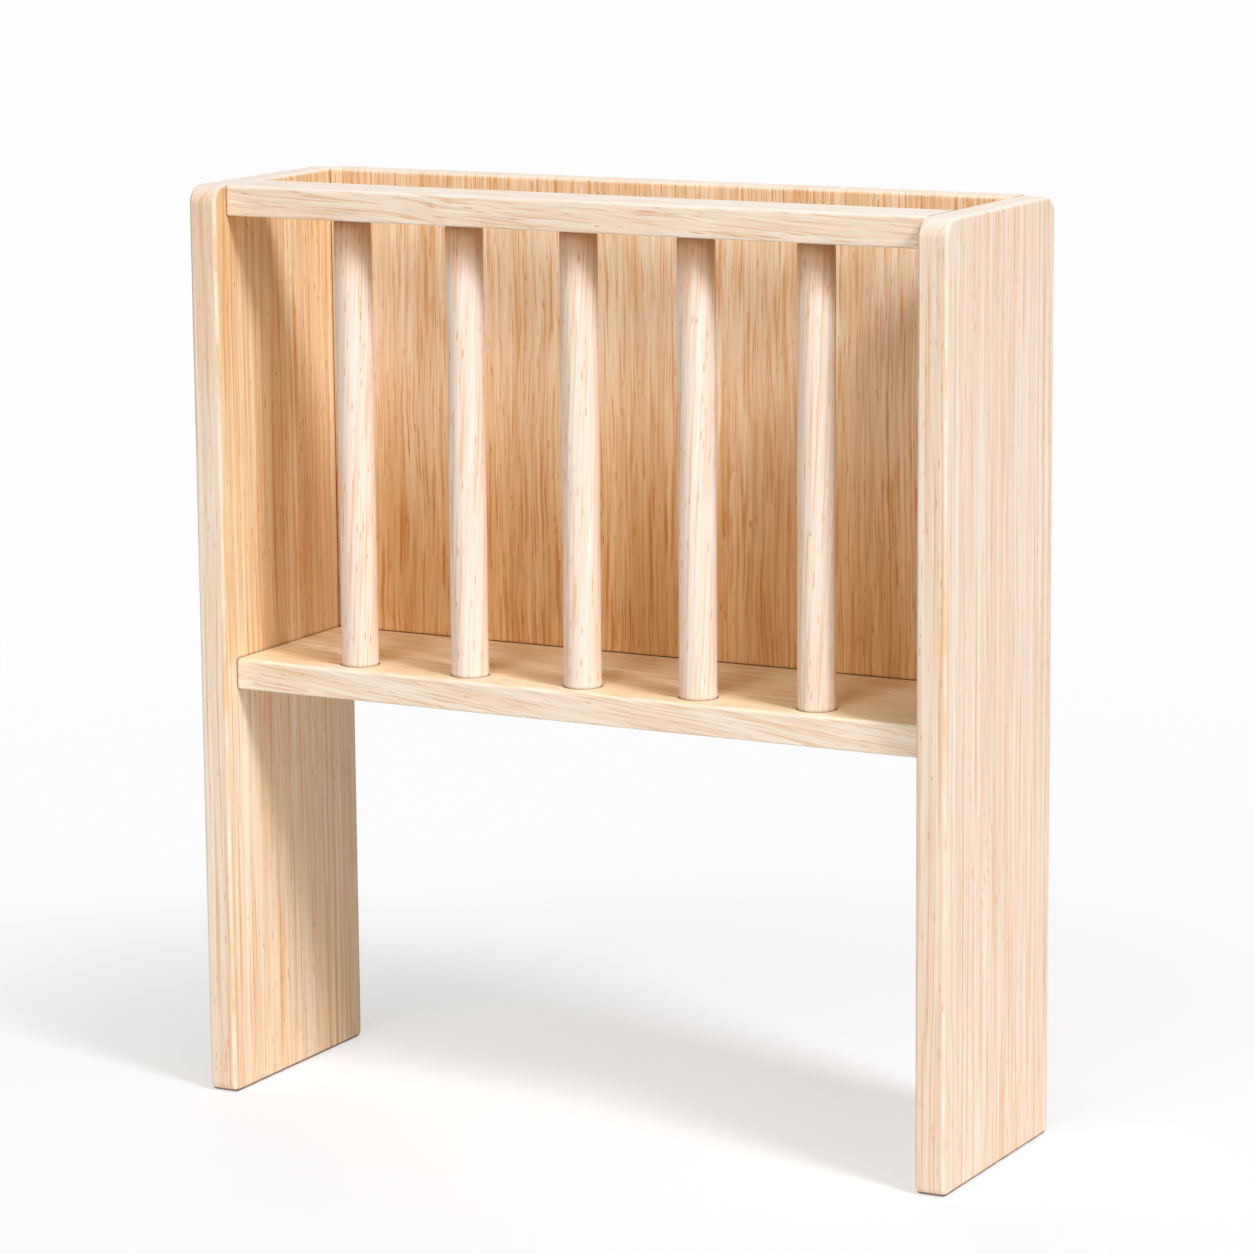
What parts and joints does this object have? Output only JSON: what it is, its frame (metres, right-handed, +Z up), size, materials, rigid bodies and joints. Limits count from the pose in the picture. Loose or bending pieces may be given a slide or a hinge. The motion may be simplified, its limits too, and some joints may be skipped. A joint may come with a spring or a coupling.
{
  "type": "magazine rack",
  "caption": "Free-standing pale wood magazine rack: side panels as legs, a raised shelf, a back panel and a front rail on round spindles",
  "frame": {"origin": "on the floor under the middle of the rack (bottom centre of the bounding box)", "axes": "+X is the rack's right seen from the front, +Y points to the rear, +Z is up"},
  "size_m": [0.4, 0.12, 0.45],
  "materials": {
    "panel_wood": "clear matte lacquer over edge-glued strips, grain upright",
    "shelf_wood": "clear matte lacquer, grain along the board",
    "back_wood": "clear matte lacquer over edge-glued strips, grain upright",
    "rail_wood": "clear matte lacquer, grain along the board",
    "spindle_wood": "clear matte lacquer, grain along the turning",
    "dowel_wood": "bare, fluted",
    "bolt_steel": "zinc plated",
    "cam_zinc": "die-cast zinc alloy, plain",
    "screw_steel": "zinc plated"
  },
  "bodies": {
    "root": {"side_panel_left": "panel_wood", "side_panel_right": "panel_wood", "shelf_board": "shelf_wood", "back_panel": "back_wood", "front_rail": "rail_wood", "spindle_1": "spindle_wood", "spindle_2": "spindle_wood", "spindle_3": "spindle_wood", "spindle_4": "spindle_wood", "spindle_5": "spindle_wood", "shelf_dowel_left_front": "dowel_wood", "shelf_dowel_left_rear": "dowel_wood", "shelf_dowel_right_front": "dowel_wood", "shelf_dowel_right_rear": "dowel_wood", "back_dowel_left_lower": "dowel_wood", "back_dowel_left_upper": "dowel_wood", "back_dowel_right_lower": "dowel_wood", "back_dowel_right_upper": "dowel_wood", "rail_dowel_left_front": "dowel_wood", "rail_dowel_left_rear": "dowel_wood", "rail_dowel_right_front": "dowel_wood", "rail_dowel_right_rear": "dowel_wood", "shelf_cam_bolt_left": "bolt_steel", "shelf_cam_lock_left": "cam_zinc", "shelf_cam_bolt_right": "bolt_steel", "shelf_cam_lock_right": "cam_zinc", "back_cam_bolt_left": "bolt_steel", "back_cam_lock_left": "cam_zinc", "back_cam_bolt_right": "bolt_steel", "back_cam_lock_right": "cam_zinc", "back_screw_1": "screw_steel", "back_screw_2": "screw_steel", "back_screw_3": "screw_steel"}
  },
  "joints": []
}
